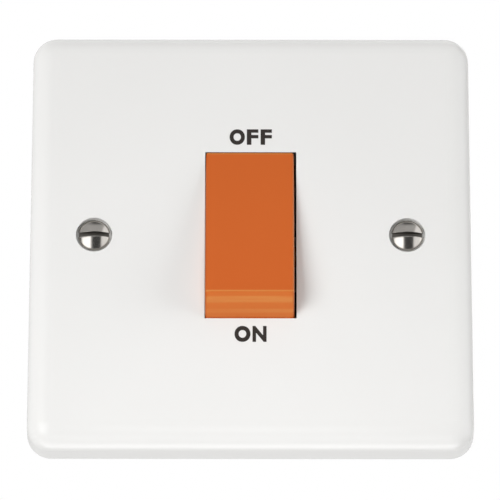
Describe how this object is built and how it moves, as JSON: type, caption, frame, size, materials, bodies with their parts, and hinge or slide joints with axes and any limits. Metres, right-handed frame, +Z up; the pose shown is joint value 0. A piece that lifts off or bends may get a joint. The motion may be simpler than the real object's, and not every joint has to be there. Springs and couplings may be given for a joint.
{
  "type": "double pole switch",
  "caption": "Square wall plate with a tilting rocker that opens and closes line and neutral together, with screw terminals behind for heavy household circuits.",
  "frame": {"origin": "middle of the plate's rear rim, in the wall plane", "axes": "+X to the right as seen from the front, +Y into the wall, +Z up"},
  "size_m": [0.0854, 0.0408, 0.0854],
  "materials": {
    "white_plastic": "gloss moulded",
    "orange_plastic": "gloss moulded",
    "base_plastic": "matt moulded",
    "frame_plastic": "matt moulded",
    "plunger_plastic": "smooth",
    "nickel": "nickel plated",
    "zinc": "bright zinc plated",
    "spring_steel": "drawn wire",
    "brass": "drawn and pressed",
    "copper": "pressed",
    "silver": "satin silver alloy"
  },
  "bodies": {
    "housing": {"front_plate": "white_plastic", "rocker_retainer": "frame_plastic", "switch_base": "base_plastic", "fixing_screws": "nickel", "base_screws": "zinc", "line_supply_terminal": "brass", "line_load_terminal": "brass", "neutral_supply_terminal": "brass", "neutral_load_terminal": "brass", "line_fixed_contact": "brass", "line_fixed_tip": "silver", "line_pivot_bracket": "brass", "neutral_fixed_contact": "brass", "neutral_fixed_tip": "silver", "neutral_pivot_bracket": "brass"},
    "rocker": {"rocker": "orange_plastic", "line_plunger_spring": "spring_steel", "neutral_plunger_spring": "spring_steel"},
    "line_arm": {"line_contact_arm": "copper", "line_moving_tip": "silver"},
    "line_plunger": {"line_plunger": "plunger_plastic"},
    "line_supply_screw": {"line_supply_screw": "zinc"},
    "line_load_screw": {"line_load_screw": "zinc"},
    "neutral_arm": {"neutral_contact_arm": "copper", "neutral_moving_tip": "silver"},
    "neutral_plunger": {"neutral_plunger": "plunger_plastic"},
    "neutral_supply_screw": {"neutral_supply_screw": "zinc"},
    "neutral_load_screw": {"neutral_load_screw": "zinc"}
  },
  "joints": [
    {"name": "rocker_pivot", "type": "hinge", "parent": "housing", "child": "rocker", "pos_m": [-0.00017, 0.0031, 0], "axis": [1, 0, 0], "range_deg": [0, 16]},
    {"name": "line_arm_pivot", "type": "hinge", "parent": "housing", "child": "line_arm", "pos_m": [0, 0.0187, 0], "axis": [1, 0, 0], "range_deg": [-16, 0]},
    {"name": "line_plunger_slide", "type": "slide", "parent": "rocker", "child": "line_plunger", "axis": [0, -0.9903, 0.1392], "range_m": [0, 0.001], "stiffness_N_per_m": 800, "deforming": ["line_plunger_spring"]},
    {"name": "line_supply_screw_travel", "type": "slide", "parent": "housing", "child": "line_supply_screw", "axis": [0, -1, 0], "range_m": [0, 0.00485]},
    {"name": "line_load_screw_travel", "type": "slide", "parent": "housing", "child": "line_load_screw", "axis": [0, -1, 0], "range_m": [0, 0.00485]},
    {"name": "neutral_arm_pivot", "type": "hinge", "parent": "housing", "child": "neutral_arm", "pos_m": [0, 0.0187, 0], "axis": [1, 0, 0], "range_deg": [-16, 0]},
    {"name": "neutral_plunger_slide", "type": "slide", "parent": "rocker", "child": "neutral_plunger", "axis": [0, -0.9903, 0.1392], "range_m": [0, 0.001], "stiffness_N_per_m": 800, "deforming": ["neutral_plunger_spring"]},
    {"name": "neutral_supply_screw_travel", "type": "slide", "parent": "housing", "child": "neutral_supply_screw", "axis": [0, -1, 0], "range_m": [0, 0.00485]},
    {"name": "neutral_load_screw_travel", "type": "slide", "parent": "housing", "child": "neutral_load_screw", "axis": [0, -1, 0], "range_m": [0, 0.00485]}
  ],
  "couplings": [
    {"joint": "line_arm_pivot", "follows": "rocker_pivot", "ratio": -1},
    {"joint": "neutral_arm_pivot", "follows": "rocker_pivot", "ratio": -1}
  ]
}
